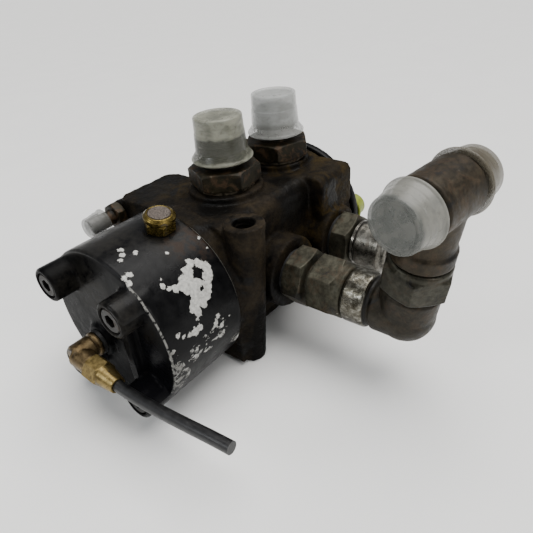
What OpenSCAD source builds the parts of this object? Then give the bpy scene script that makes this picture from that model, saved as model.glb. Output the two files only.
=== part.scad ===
// Hydraulic monoblock spool valve with an air actuator, millimetres.
// Origin: centre of the body's bottom face. +X runs along the spool towards the
// actuator, +Y towards the side ports, +Z up towards the top ports.

/* [Valve body] */
// Height of the machined top ports above the base
top_z = 88; // [86:1:92]
// Height of the spool axis above the base
spool_z = 45; // [45:1:46]
// Height of the side port axes above the base
side_port_z = 42; // [41:1:43]
// Half width of the block
block_half_y = 30; // [28:1:32]
// Half width of the foot that the block stands on
foot_half_y = 22; // [20:1:26]
// Place of the front port pair along the spool
front_port_x = 12; // [11:1:13]
// Place of the rear port pair along the spool
rear_port_x = -37; // [-38:1:-36]
// Radius of the mounting ears at the top
ear_top_r = 10.8; // [10.5:0.1:11.5]
// Radius of the mounting ears at the foot
ear_foot_r = 7.8; // [7:0.1:8.5]
// Radius of the tapped mounting holes
ear_hole_r = 5.5; // [5:0.25:6]
// Depth of the tapped mounting holes
ear_hole_depth = 34; // [28:1:40]

/* [Actuator] */
// Outer radius of the air cylinder
barrel_r = 45; // [44:0.5:45]
// Bore radius of the air cylinder
piston_bore_r = 30; // [29:0.5:30]
// Distance of each corner boss from the spool axis, in Y and in Z
boss_offset = 25.5; // [25:0.5:26]
// Outer radius of the corner bosses
boss_r = 9.3; // [9:0.1:9.5]
// Spool stroke, which sets the room left behind the spool
stroke = 10; // [8:1:10]

/* [Side line] */
// Width across flats of the line hexes
line_af = 30; // [27:1:32]
// Radius of the smooth collars
collar_r = 15; // [14:0.5:16]
// Place of the elbow's bend along Y
elbow_y = 113.5; // [112:0.5:116]
// Lean of the elbow's branch away from the body
lean_out = 10; // [8:1:12]
// Lean of the elbow's branch towards the actuator
lean_front = 5; // [0:1:6]
// Distance from the elbow's bend to the tee's run
run_reach = 69; // [67:0.5:71]
// Turn of the tee's run about the branch
run_yaw = 10.5; // [8:0.5:14]

/* [Caps] */
// Wall of the plastic caps
cap_wall = 1; // [0.8:0.1:1.1]

/* [Air line] */
// Radius of the nylon tube
tube_r = 3; // [2:0.5:3]

/* [Hidden] */
$fn = 64;

front_x = 58;
rear_x = -57;
gasket_t = 0.8;
flange_r = 43;
flange_x = front_x - gasket_t;
end_x = 106;
boss_end_x = 119;
bore_end_x = 98;
ear_x = 44;
ear_y = 40.5;
ear_tilt = 3.5;
foot_h = 14;
spool_bore_r = 11;
spool_r = 10.96;
rod_r = 8;
gallery_r = 15;
side_face_y = 45;
back_face_y = -42;
relief_x = 9;
check_x = -19;
cartridge_r = 9;
test_y = -50;
test_z = 75;
test_x = 53.2;
cover_screw_offset = 27.5;
port_xs = [front_port_x, rear_port_x];
spread = [for (sy = [-1, 1], sz = [-1, 1]) [sy, sz]];
swivel_r = 12;
stub_r = 10.9;
top_stub_r = 11.7;
cap_top = 1.4;
spool_rear_x = -52;
o_ring_xs = [-50, 49];

// Nylon tube, from inside the nut to its cut end
tube_route = [
    [121.5, 12, 31.6], [121.5, 20, 30.6], [121.4, 29, 30.3], [121.2, 39, 30.6], [120.8, 49, 31.2],
    [120.3, 59, 32], [119.7, 69, 32.8], [119, 79, 33.5], [118.3, 90, 34]
];

// ---- shared shapes ----

module along_x(x, y, z) translate([x, y, z]) rotate([0, 90, 0]) children();
module along_y(x, y, z) translate([x, y, z]) rotate([-90, 0, 0]) children();
module along_back(x, y, z) translate([x, y, z]) rotate([90, 0, 0]) children();

module round_rect(w, h, r) {
    square([w - 2 * r, h], center = true);
    square([w, h - 2 * r], center = true);
    for (sx = [-1, 1], sy = [-1, 1]) translate([sx * (w / 2 - r), sy * (h / 2 - r)]) circle(r);
}

// Slab between two corners, rounded about Z
module slab_z(low, high, r) {
    size = high - low;
    translate([low.x + size.x / 2, low.y + size.y / 2, low.z])
        linear_extrude(size.z) round_rect(size.x, size.y, r);
}

// Slab between two corners, rounded about X
module slab_x(low, high, r) {
    size = high - low;
    translate([low.x, low.y + size.y / 2, low.z + size.z / 2]) rotate([90, 0, 90])
        linear_extrude(size.x) round_rect(size.y, size.z, r);
}

// Hexagon bar with chamfered corners, from z = 0
module hex(af, h, chamfer = 1.2) {
    corner_r = af / 2 / cos(30);
    intersection() {
        cylinder(r = corner_r, h = h, $fn = 6);
        rotate_extrude() polygon([
            [0, 0], [corner_r - 2 * chamfer, 0], [corner_r, chamfer],
            [corner_r, h - chamfer], [corner_r - 2 * chamfer, h], [0, h]
        ]);
    }
}

module tube(r_out, r_in, h) difference() {
    cylinder(r = r_out, h = h);
    translate([0, 0, -1]) cylinder(r = r_in, h = h + 2);
}

// Round bar with chamfered ends
module bar(r, h, chamfer = 0.8) {
    rotate_extrude() polygon([
        [0, 0], [r - chamfer, 0], [r, chamfer], [r, h - chamfer], [r - chamfer, h], [0, h]
    ]);
}

module ring(mid_r, wire_r) rotate_extrude() translate([mid_r, 0]) circle(wire_r, $fn = 32);

// Closed tube swept along a list of points; up keeps the rings from twisting
module sweep(points, r, sides, up = [0, 0, 1]) {
    last = len(points) - 1;
    rings = [for (i = [0:last])
        let (ahead = points[min(i + 1, last)] - points[max(i - 1, 0)])
        let (t = ahead / norm(ahead))
        let (s = cross(t, up) / norm(cross(t, up)))
        let (u = cross(s, t))
        for (k = [0:sides - 1]) points[i] + r * (cos(360 * k / sides) * s + sin(360 * k / sides) * u)
    ];
    walls = [for (i = [0:last - 1], k = [0:sides - 1])
        let (n = (k + 1) % sides)
        [i * sides + k, i * sides + n, (i + 1) * sides + n, (i + 1) * sides + k]
    ];
    ends = [
        [for (k = [sides - 1:-1:0]) k],
        [for (k = [0:sides - 1]) last * sides + k]
    ];
    polyhedron(rings, concat(walls, ends), convexity = 6);
}

// Helical spring from z = 0 to z = length
module coil(mid_r, wire_r, length, turns, steps = 16, sides = 8) {
    rise = length - 2 * wire_r;
    count = turns * steps;
    sweep(
        [for (i = [0:count])
            [mid_r * cos(360 * i / steps), mid_r * sin(360 * i / steps), wire_r + rise * i / count]],
        wire_r, sides
    );
}

// Push-on plastic cap: mouth at z = 0, closed top at z = h
module plastic_cap(mouth_r, rim_r, top_r, h) {
    rotate_extrude() polygon([
        [mouth_r, 0], [rim_r, 0], [rim_r, 1.4], [mouth_r + cap_wall, 5], [top_r, h - 0.8],
        [top_r - 0.8, h], [0, h], [0, h - cap_top], [top_r - cap_wall, h - cap_top]
    ]);
}

// ---- valve body ----

module wing() {
    slab_z([10, -50, 62], [53, -18, 85], 8);
    along_x(30, test_y, test_z) bar(7.5, test_x - 30, 1);
}

// Ear: a leaning, tapered post with a web and a foot to the block, cut level at the top
module ear() {
    intersection() {
        translate([0, 0, top_z]) rotate([-ear_tilt, 0, 0]) translate([0, 0, -top_z - 10])
            cylinder(r1 = ear_foot_r - 0.3, r2 = ear_top_r + 0.3, h = top_z + 20);
        translate([-20, -20, 0]) cube([40, 40, top_z]);
    }
    translate([-7, -19, 4]) cube([12, 16, top_z - 10]);
    translate([-7, -19, 2]) cube([18.5, 17, 27]);
}

module body_solid() {
    slab_z([rear_x + 7, -foot_half_y, 0], [44, foot_half_y, 40], 5);
    slab_z([rear_x, -block_half_y, foot_h], [50, block_half_y, 60], 5);
    slab_x([rear_x, -38, 16], [50, 32, 84], 8);
    wing();
    along_x(46, 0, spool_z) cylinder(r = flange_r, h = flange_x - 46);
    along_x(rear_x, 0, spool_z) cylinder(r = flange_r, h = 12);
    for (side = [-1, 1]) slab_x([rear_x, 23.5 * side - 18.5, 54], [-24, 23.5 * side + 18.5, 84], 6);
    for (x = port_xs) translate([x, 0, 50]) cylinder(r = x > 0 ? 21.5 : 19.5, h = top_z - 50);
    along_y(front_port_x, 0, side_port_z) cylinder(r = 21, h = side_face_y);
    along_y(rear_port_x, 0, side_port_z) cylinder(r = 19.5, h = side_face_y);
    for (x = [relief_x, check_x]) along_back(x, 0, spool_z) cylinder(r = 13.5, h = -back_face_y);
    for (turn = [0, 180]) rotate([0, 0, turn]) translate([ear_x, ear_y, 0]) ear();
}

module body_holes() {
    along_x(rear_x - 1, 0, spool_z) cylinder(r = spool_bore_r, h = front_x - rear_x + 2);
    for (x = [rear_port_x, relief_x - 22, relief_x + 3]) along_x(x - 4, 0, spool_z)
        cylinder(r = gallery_r, h = 8);
    for (x = o_ring_xs) along_x(x - 1.7, 0, spool_z) cylinder(r = 13.6, h = 3.4);
    for (x = port_xs) {
        translate([x, 0, 70]) cylinder(r = 13.2, h = top_z);
        translate([x, 0, spool_z]) cylinder(r = 8, h = 30);
        along_y(x, 27, side_port_z) cylinder(r = 10.5, h = 20);
        along_y(x, 0, side_port_z) cylinder(r = 7, h = 30);
    }
    for (x = [relief_x, check_x]) {
        along_back(x, -20, spool_z) cylinder(r = cartridge_r, h = 30);
        along_back(x, -8, spool_z) cylinder(r = 4.5, h = 30);
    }
    along_x(36, test_y, test_z) cylinder(r = 5, h = 20);
    for (side = [-1, 1]) translate([side * ear_x, side * ear_y, top_z - ear_hole_depth])
        cylinder(r = ear_hole_r, h = ear_hole_depth + 1);
    for (s = spread) {
        along_x(34, s[0] * boss_offset, spool_z + s[1] * boss_offset) cylinder(r = 4.05, h = 30);
        along_x(rear_x - 1, s[0] * cover_screw_offset, spool_z + s[1] * cover_screw_offset)
            cylinder(r = 3.1, h = 16);
    }
}

module valve_body() color([0.24, 0.18, 0.13]) difference() {
    body_solid();
    body_holes();
}

// ---- actuator ----

// Direction of the breather, tilted from +Z towards +Y about the spool axis
breather_tilt = 11.3;
breather_x = 70;
module at_breather(r) translate([breather_x, 0, spool_z]) rotate([-breather_tilt, 0, 0])
    translate([0, 0, r]) children();

inlet_y = -11.5;
inlet_z = 34.5;
module at_inlet(x) along_x(x, inlet_y, inlet_z) children();

module actuator_housing() color([0.09, 0.09, 0.1]) difference() {
    union() {
        along_x(front_x, 0, spool_z) bar(barrel_r, end_x - front_x, 1);
        for (s = spread) along_x(98, s[0] * boss_offset, spool_z + s[1] * boss_offset)
            bar(boss_r, boss_end_x - 98, 1.2);
        slab_x([100, 16.5, spool_z - 22], [111, 22, spool_z + 22], 2.5);
        at_inlet(100) bar(9.5, 8.5, 1);
    }
    along_x(front_x - 1, 0, spool_z) cylinder(r = piston_bore_r, h = bore_end_x - front_x + 1);
    for (s = spread) along_x(front_x - 1, s[0] * boss_offset, spool_z + s[1] * boss_offset) {
        cylinder(r = 4.3, h = 70);
        translate([0, 0, 110.5 - front_x]) cylinder(r = 6.8, h = 20);
    }
    at_inlet(bore_end_x - 1) cylinder(r = 5, h = 20);
    at_breather(25) cylinder(r = 5, h = 30);
    at_breather(44.2) cylinder(r = 9.4, h = 5);
}

module actuator_screws() color([0.16, 0.15, 0.14])
    for (s = spread) along_x(38, s[0] * boss_offset, spool_z + s[1] * boss_offset) difference() {
        union() {
            cylinder(r = 4, h = 72.6);
            translate([0, 0, 72.5]) bar(6.5, 8, 0.8);
        }
        translate([0, 0, 76]) cylinder(r = 3 / cos(30), h = 6, $fn = 6);
    }

module actuator_gasket() color([0.2, 0.2, 0.18]) difference() {
    along_x(flange_x, 0, spool_z) tube(flange_r, piston_bore_r + 1, gasket_t);
    for (s = spread) along_x(front_x - 5, s[0] * boss_offset, spool_z + s[1] * boss_offset)
        cylinder(r = 4.3, h = 10);
}

module air_piston() color([0.72, 0.73, 0.75]) along_x(84, 0, spool_z) difference() {
    bar(piston_bore_r - 0.4, 7, 0.4);
    translate([0, 0, 1]) tube(31, 27.4, 1.8);
    translate([0, 0, 4]) tube(31, 26.6, 2.2);
    translate([0, 0, -1]) cylinder(r = 6.05, h = 9);
    translate([0, 0, -1]) tube(17, 9.5, 3);
}

module piston_guide_ring() color([0.85, 0.82, 0.7])
    along_x(85.1, 0, spool_z) tube(piston_bore_r - 0.05, 27.5, 1.6);

module piston_seal() color([0.06, 0.06, 0.06])
    along_x(88.1, 0, spool_z) tube(piston_bore_r - 0.03, 26.7, 2);

module piston_nut() color([0.6, 0.6, 0.6]) along_x(91, 0, spool_z) difference() {
    hex(19, 5.5, 0.8);
    translate([0, 0, -1]) cylinder(r = 6.05, h = 9);
}

module return_spring() color([0.55, 0.55, 0.56])
    along_x(60, 0, spool_z) coil(13.2, 1.4, 25.9, 4);

module spring_seat() color([0.5, 0.5, 0.5]) along_x(58, 0, spool_z) tube(18, 8.5, 2);

// ---- spool ----

// Land edges along X as [start, end] pairs; the necks between them have neck_r
neck_r = 7.5;
spool_lands = [[spool_rear_x, -40], [-34, -17], [-9, 8], [16, 56]];
module spool() color([0.66, 0.67, 0.69]) along_x(0, 0, spool_z) {
    for (land = spool_lands) translate([0, 0, land[0]]) bar(spool_r, land[1] - land[0], 0.3);
    translate([0, 0, -45]) cylinder(r = neck_r, h = 70);
    translate([0, 0, 50]) cylinder(r = rod_r, h = 34);
    translate([0, 0, 80]) bar(6, 17, 0.6);
}

module spool_seals() color([0.06, 0.06, 0.06])
    for (x = o_ring_xs) along_x(x, 0, spool_z) ring(12.3, 1.26);

// ---- rear cover ----

module rear_cover() color([0.07, 0.07, 0.08]) difference() {
    union() {
        along_x(rear_x - 6, 0, spool_z) bar(44.8, 6, 1);
        along_x(rear_x - 9, 0, spool_z) bar(22, 5, 1.5);
    }
    along_x(spool_rear_x - stroke - 0.6, 0, spool_z) cylinder(r = spool_bore_r + 1, h = 10);
    along_x(rear_x - 1.3, 0, spool_z) tube(18.2, 15.4, 3);
    for (s = spread) along_x(rear_x - 10, s[0] * cover_screw_offset, spool_z + s[1] * cover_screw_offset)
        cylinder(r = 3.3, h = 20);
    along_x(rear_x - 7, 36, spool_z + 2) cylinder(r = 5, h = 5);
}

module rear_cover_screws() color([0.3, 0.29, 0.28])
    for (s = spread) translate([rear_x - 6, s[0] * cover_screw_offset, spool_z + s[1] * cover_screw_offset])
        rotate([0, -90, 0]) difference() {
            union() {
                translate([0, 0, -20]) cylinder(r = 3, h = 20.1);
                bar(5, 6, 0.6);
            }
            translate([0, 0, 3]) cylinder(r = 2.5 / cos(30), h = 6, $fn = 6);
        }

module rear_cover_seal() color([0.06, 0.06, 0.06])
    along_x(rear_x - 0.65, 0, spool_z) ring(16.8, 0.62);

module rear_plug() color([0.72, 0.8, 0.2])
    translate([rear_x - 6, 36, spool_z + 2]) rotate([0, -90, 0]) {
        bar(9.5, 2, 0.5);
        bar(7.5, 11, 1);
        translate([0, 0, -4]) cylinder(r = 4.8, h = 5);
    }

// ---- air fittings ----

module breather_body() color([0.7, 0.53, 0.25]) at_breather(44.2) difference() {
    union() {
        hex(14, 5.6, 0.7);
        translate([0, 0, 5]) bar(8, 4.4, 1.3);
        translate([0, 0, -12]) cylinder(r = 4.9, h = 13);
    }
    translate([0, 0, 7.8]) cylinder(r = 5.7, h = 4);
    translate([0, 0, -13]) cylinder(r = 1.6, h = 24);
}

module breather_filter() color([0.62, 0.6, 0.57]) at_breather(44.2)
    translate([0, 0, 7.8]) bar(5.6, 1.9, 0.4);

// The elbow's outlet dips below +Y by this angle
outlet_dip = 7;
outlet_x = 121.5;
nut_reach = 11.1;
module at_outlet(reach) translate([outlet_x, inlet_y, inlet_z]) rotate([-90 - outlet_dip, 0, 0])
    translate([0, 0, reach]) children();

module elbow_fitting() color([0.62, 0.48, 0.26]) difference() {
    union() {
        at_inlet(99.5) cylinder(r = 4.9, h = 12);
        at_inlet(110.2) bar(6.8, 2.6, 0.6);
        at_inlet(112.5) bar(6.5, 12, 1.5);
        at_outlet(0) cylinder(r = 5.7, h = nut_reach - 0.1);
        at_outlet(nut_reach - 1) cylinder(r = 4.4, h = 8);
    }
    at_inlet(99) cylinder(r = 2.2, h = outlet_x - 99);
    at_outlet(0) cylinder(r = 1.8, h = nut_reach + 9);
    at_outlet(nut_reach + 2) cylinder(r = 3.08, h = 8);
}

module elbow_seal() color([0.07, 0.07, 0.07]) at_inlet(108.5) tube(7, 5, 1.7);

module tube_nut() color([0.74, 0.6, 0.3]) at_outlet(nut_reach) difference() {
    union() {
        hex(12, 10, 0.7);
        translate([0, 0, 9]) cylinder(r1 = 6, r2 = 4.2, h = 11);
    }
    translate([0, 0, -1]) cylinder(r = 4.45, h = 10.2);
    cylinder(r = 3.08, h = 30);
}

module tube_olive() color([0.8, 0.68, 0.36]) at_outlet(nut_reach + 7.1) tube(4.2, 3.08, 1.9);

module nylon_tube() color([0.05, 0.05, 0.055]) sweep(tube_route, tube_r, 12);

// ---- test port ----

module test_fitting() color([0.32, 0.27, 0.2]) along_x(test_x, test_y, test_z) difference() {
    union() {
        hex(14, 6, 0.8);
        translate([0, 0, -12]) cylinder(r = 4.9, h = 13);
        translate([0, 0, 5]) bar(4.6, 15, 0.6);
    }
    translate([0, 0, -13]) cylinder(r = 1.5, h = 40);
}

module test_cap() color([0.86, 0.87, 0.86, 0.7])
    along_x(test_x + 11.3, test_y, test_z) plastic_cap(5.6, 7.5, 6, 12);

// ---- top port adapters ----

// Hex adapter standing on a port: thread below z = 0, hex, then a male stub
module adapter(af, hex_h, port_r, port_depth, stub_r, stub_h, way_r) difference() {
    union() {
        translate([0, 0, -port_depth]) bar(port_r, port_depth + 2, 0.8);
        hex(af, hex_h, 1.4);
        translate([0, 0, hex_h - 1]) cylinder(r = stub_r - 1, h = 4);
        translate([0, 0, hex_h + 1.5]) bar(stub_r, stub_h - 1.5, 0.8);
    }
    translate([0, 0, -port_depth - 1]) cylinder(r = way_r, h = port_depth + hex_h + stub_h + 2);
}

seal_t = 1.6;
top_hex_h = 10.5;
module at_top_port(x, z = top_z) translate([x, 0, z]) children();

module top_adapter(x, turn) color([0.28, 0.25, 0.17]) at_top_port(x, top_z + seal_t)
    rotate([0, 0, turn]) adapter(36, top_hex_h, 13.1, 18, top_stub_r, 19, 7);

module top_seal(x) color([0.3, 0.3, 0.3]) at_top_port(x) tube(17, 13.4, seal_t);

module top_cap(x) color([0.84, 0.86, 0.84, 0.6]) at_top_port(x, top_z + seal_t + top_hex_h + 3.5)
    plastic_cap(13.5, 17.3, 13.4, 24);

module front_adapter() top_adapter(front_port_x, 8);
module rear_adapter() top_adapter(rear_port_x, 39);
module front_adapter_seal() top_seal(front_port_x);
module rear_adapter_seal() top_seal(rear_port_x);
module front_cap() top_cap(front_port_x);
module rear_cap() top_cap(rear_port_x);

// ---- side line A ----

steel = [0.42, 0.4, 0.37];
module at_side_port(x, y = side_face_y) along_y(x, y, side_port_z) children();

module side_adapter(x, turn) color(steel) at_side_port(x, side_face_y + seal_t)
    rotate([0, 0, turn]) adapter(line_af, 12.5, 10.4, 17, stub_r, 13.5, 6);
module side_seal(x) color([0.3, 0.3, 0.3]) at_side_port(x) tube(14.2, 10.7, seal_t);

module line_a_adapter() side_adapter(front_port_x, 10);
module line_a_seal() side_seal(front_port_x);

// Swivel nut: hex, then a smooth shoulder; it threads onto a stub and holds a tail
module swivel_nut(af, hex_h, shoulder_h) difference() {
    union() {
        hex(af, hex_h, 1.4);
        translate([0, 0, hex_h - 1]) bar(collar_r, shoulder_h + 1, 1);
    }
    translate([0, 0, -1]) cylinder(r = 11, h = 30);
    translate([0, 0, 10]) cylinder(r = swivel_r + 0.06, h = 30);
}

nut_a_y = 62.5;
module line_a_nut() color(steel) along_y(front_port_x, nut_a_y, side_port_z)
    rotate([0, 0, 20]) swivel_nut(line_af, 16, 4.5);

bend_r = 14.4;
tee_half = 14;
tee_stub = 12;

// The elbow's branch and the tee's run, each with +Z along it
module at_branch(reach) translate([front_port_x, elbow_y, side_port_z])
    rotate([-lean_out, lean_front, 0]) translate([0, 0, reach]) children();
module at_run(t) at_branch(run_reach) rotate([0, 90, -run_yaw]) translate([0, 0, t]) children();

module line_a_elbow() color([0.3, 0.26, 0.21]) difference() {
    union() {
        along_y(front_port_x, 74, side_port_z) cylinder(r = swivel_r, h = 12);
        along_y(front_port_x, 83.4, side_port_z) bar(collar_r, 13, 1);
        along_y(front_port_x, 95, side_port_z) cylinder(r = 13.2, h = 6);
        along_y(front_port_x, 98.5, side_port_z) bar(bend_r, elbow_y - 97, 1.5);
        at_branch(0) sphere(bend_r + 0.4);
        at_branch(0) bar(bend_r, 18, 1.5);
        at_branch(0) cylinder(r = stub_r, h = 29);
    }
    along_y(front_port_x, 73, side_port_z) cylinder(r = 6.1, h = elbow_y - 72);
    at_branch(-2) cylinder(r = 5.8, h = 40);
}

module tee_nut() color(steel) at_branch(19) rotate([0, 0, 16]) swivel_nut(line_af, 14.5, 3);

// Tee: swivel tail, collar and branch on the elbow's axis, run across the top
module tee_body() color([0.27, 0.22, 0.17]) difference() {
    union() {
        at_branch(29.8) cylinder(r = swivel_r, h = 12);
        at_branch(37) bar(14.6, 8.5, 1);
        at_branch(45) bar(13.2, run_reach - 45, 0.5);
        at_run(-tee_half) bar(14, 2 * tee_half, 1.2);
        at_run(-tee_half - tee_stub) bar(stub_r, 2 * tee_half + 2 * tee_stub, 0.8);
    }
    at_branch(28) cylinder(r = 5.8, h = run_reach - 28);
    at_run(-60) cylinder(r = 6.2, h = 120);
}

module tee_cap_near() color([0.84, 0.86, 0.84, 0.6])
    at_run(tee_half + 2.4) plastic_cap(12.7, 15.4, 12.65, 13.6);

module tee_cap_far() color([0.8, 0.79, 0.7, 0.6])
    at_run(-tee_half - 0.6) rotate([0, 180, 0]) plastic_cap(12.7, 15.4, 12.65, 13.6);

// ---- side line B ----

module line_b_adapter() side_adapter(rear_port_x, 24);
module line_b_seal() side_seal(rear_port_x);
module line_b_ring() color([0.6, 0.59, 0.56]) along_y(rear_port_x, 60.4, side_port_z) tube(13.6, 11.1, 1.6);
module line_b_nut() color(steel) along_y(rear_port_x, 62.5, side_port_z) difference() {
    union() {
        bar(collar_r, 17, 1.2);
        translate([0, 0, 16]) bar(12.4, 4, 1);
    }
    translate([0, 0, -1]) cylinder(r = 11, h = 13);
    translate([0, 0, 5]) cylinder(r = 8.1, h = 30);
}
module line_b_blank() color([0.5, 0.48, 0.44]) along_y(rear_port_x, 72.8, side_port_z) {
    cylinder(r = 8, h = 10.8);
    cylinder(r = 10.8, h = 1.6);
}

// ---- relief and load check cartridges on the back face ----

module at_cartridge(x, reach) along_back(x, back_face_y, spool_z) translate([0, 0, reach]) children();

// Plug: hex outside, bored sleeve inside that guides the poppet
module cartridge_plug(x, mouth_r) at_cartridge(x, seal_t) difference() {
    union() {
        hex(22, 8, 1);
        translate([0, 0, -21]) bar(8.9, 22, 0.8);
    }
    translate([0, 0, -22]) cylinder(r = 6, h = 25);
    translate([0, 0, -30]) cylinder(r = mouth_r, h = 60);
}
module cartridge_seal(x) color([0.3, 0.3, 0.3]) at_cartridge(x, 0) tube(12, 9.1, seal_t);

// Poppet: cone that closes the drilling, with a guided skirt
module poppet(x) color([0.7, 0.7, 0.72]) at_cartridge(x, 0) {
    translate([0, 0, -23]) cylinder(r1 = 3.6, r2 = 5.95, h = 3);
    translate([0, 0, -20]) cylinder(r = 5.95, h = 4);
}

module relief_plug() color([0.36, 0.33, 0.28]) cartridge_plug(relief_x, 4);
module relief_seal() cartridge_seal(relief_x);
module relief_poppet() poppet(relief_x);
module relief_spring() color([0.55, 0.55, 0.56]) at_cartridge(relief_x, -16) coil(4.4, 0.8, 16.7, 6, 12, 6);
module relief_adjuster() color([0.6, 0.6, 0.6]) at_cartridge(relief_x, 0.9) difference() {
    union() {
        cylinder(r = 5.5, h = 2.4);
        bar(3.9, 17, 0.5);
    }
    translate([0, 0, 13]) cylinder(r = 2 / cos(30), h = 6, $fn = 6);
}
module relief_locknut() color([0.45, 0.42, 0.36]) at_cartridge(relief_x, 9.7) difference() {
    hex(13, 5, 0.8);
    translate([0, 0, -1]) cylinder(r = 3.95, h = 8);
}

module check_plug() color([0.36, 0.33, 0.28]) cartridge_plug(check_x, 0.8);
module check_seal() cartridge_seal(check_x);
module check_poppet() poppet(check_x);
module check_spring() color([0.55, 0.55, 0.56]) at_cartridge(check_x, -16) coil(4.4, 0.6, 20.5, 6, 12, 6);

// ---- one line for each node ----

valve_body();
actuator_housing();
actuator_screws();
actuator_gasket();
rear_cover();
rear_cover_screws();
rear_cover_seal();
rear_plug();
spool();
spool_seals();
air_piston();
piston_seal();
piston_guide_ring();
piston_nut();
return_spring();
spring_seat();
breather_body();
breather_filter();
elbow_fitting();
elbow_seal();
tube_nut();
tube_olive();
nylon_tube();
test_fitting();
test_cap();
front_adapter();
front_adapter_seal();
front_cap();
rear_adapter();
rear_adapter_seal();
rear_cap();
line_a_adapter();
line_a_seal();
line_a_nut();
line_a_elbow();
tee_nut();
tee_body();
tee_cap_near();
tee_cap_far();
line_b_adapter();
line_b_seal();
line_b_ring();
line_b_nut();
line_b_blank();
relief_plug();
relief_seal();
relief_poppet();
relief_spring();
relief_adjuster();
relief_locknut();
check_plug();
check_seal();
check_poppet();
check_spring();
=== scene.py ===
import math

import bmesh
import bpy
import numpy as np
from mathutils import Matrix, Vector, noise


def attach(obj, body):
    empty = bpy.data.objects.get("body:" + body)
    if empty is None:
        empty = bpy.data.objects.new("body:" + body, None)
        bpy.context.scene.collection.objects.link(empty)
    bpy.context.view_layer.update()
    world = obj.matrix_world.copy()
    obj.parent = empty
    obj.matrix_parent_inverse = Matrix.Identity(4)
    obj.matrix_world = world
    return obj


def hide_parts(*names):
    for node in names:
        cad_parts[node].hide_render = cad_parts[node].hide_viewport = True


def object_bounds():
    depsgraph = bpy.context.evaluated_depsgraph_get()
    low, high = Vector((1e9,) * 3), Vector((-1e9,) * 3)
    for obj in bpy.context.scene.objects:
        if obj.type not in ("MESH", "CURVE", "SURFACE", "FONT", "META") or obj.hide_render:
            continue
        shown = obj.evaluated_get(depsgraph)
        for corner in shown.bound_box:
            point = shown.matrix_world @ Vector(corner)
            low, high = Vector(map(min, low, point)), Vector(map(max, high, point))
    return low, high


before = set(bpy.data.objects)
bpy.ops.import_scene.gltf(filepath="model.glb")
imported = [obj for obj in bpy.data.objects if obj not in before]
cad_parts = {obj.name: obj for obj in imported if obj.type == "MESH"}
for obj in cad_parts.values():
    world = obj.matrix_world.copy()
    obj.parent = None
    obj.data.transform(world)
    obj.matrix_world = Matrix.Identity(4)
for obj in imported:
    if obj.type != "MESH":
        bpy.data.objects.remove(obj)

CAD_BOX = [list(corner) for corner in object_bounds()]
MM = 0.001

# Sizes of the model that the shaders and pieces share, in millimetres
BARREL_R = 45
BARREL_Z = 45
BARREL_SKIN = 43.6
BARREL_FRONT = 106.2
EAR_X = 44
EAR_Y = 40.5
EAR_HOLE_R = 5.5
FRONT_X = 12
REAR_X = -37
TOP_SEAT_Z = 89.6
CAP_SEAT_Z = 103.6
LINE_Z = 42

# ---- camera, floor and light ----

camera_data = bpy.data.cameras.new("camera")
camera_data.sensor_width = 36
camera_data.lens = 33.49
camera_data.clip_start = 0.01
camera = bpy.data.objects.new("camera", camera_data)
bpy.context.scene.collection.objects.link(camera)
right = Vector((-0.617, 0.783, -0.083)).normalized()
back = Vector((0.632, 0.556, 0.540)).normalized()
up = back.cross(right).normalized()
right = up.cross(back).normalized()
camera.matrix_world = Matrix.Translation((0.2006, 0.1903, 0.2000)) @ Matrix(
    (right, up, back)).transposed().to_4x4()
bpy.context.scene.camera = camera


def area_light(name, place, target, size, power, tint=(1, 1, 1)):
    data = bpy.data.lights.new(name, "AREA")
    data.shape = "DISK"
    data.size = size
    data.energy = power
    data.color = tint
    light = bpy.data.objects.new(name, data)
    light.location = place
    light.rotation_euler = (Vector(target) - Vector(place)).to_track_quat("-Z", "Y").to_euler()
    bpy.context.scene.collection.objects.link(light)


area_light("window", (0.80, -0.25, 0.60), (0.06, 0.02, 0.05), 0.35, 2.4, (0.95, 0.98, 1))
area_light("side", (0.15, 0.90, 0.60), (0.02, 0.06, 0.05), 0.40, 2.2, (1, 0.99, 0.97))
sun_data = bpy.data.lights.new("ceiling", "SUN")
sun_data.energy = 3.9
sun_data.angle = math.radians(55)
sun_data.color = (1, 0.985, 0.96)
sun = bpy.data.objects.new("ceiling", sun_data)
sun.rotation_euler = (math.radians(-6), math.radians(-12), 0)
bpy.context.scene.collection.objects.link(sun)

world = bpy.data.worlds.new("studio")
world.use_nodes = True
world.node_tree.nodes["Background"].inputs["Color"].default_value = (0.95, 0.97, 1, 1)
world.node_tree.nodes["Background"].inputs["Strength"].default_value = 0.32
bpy.context.scene.world = world


# ---- shader helpers; positions in shaders are millimetres in the model's frame ----

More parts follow.
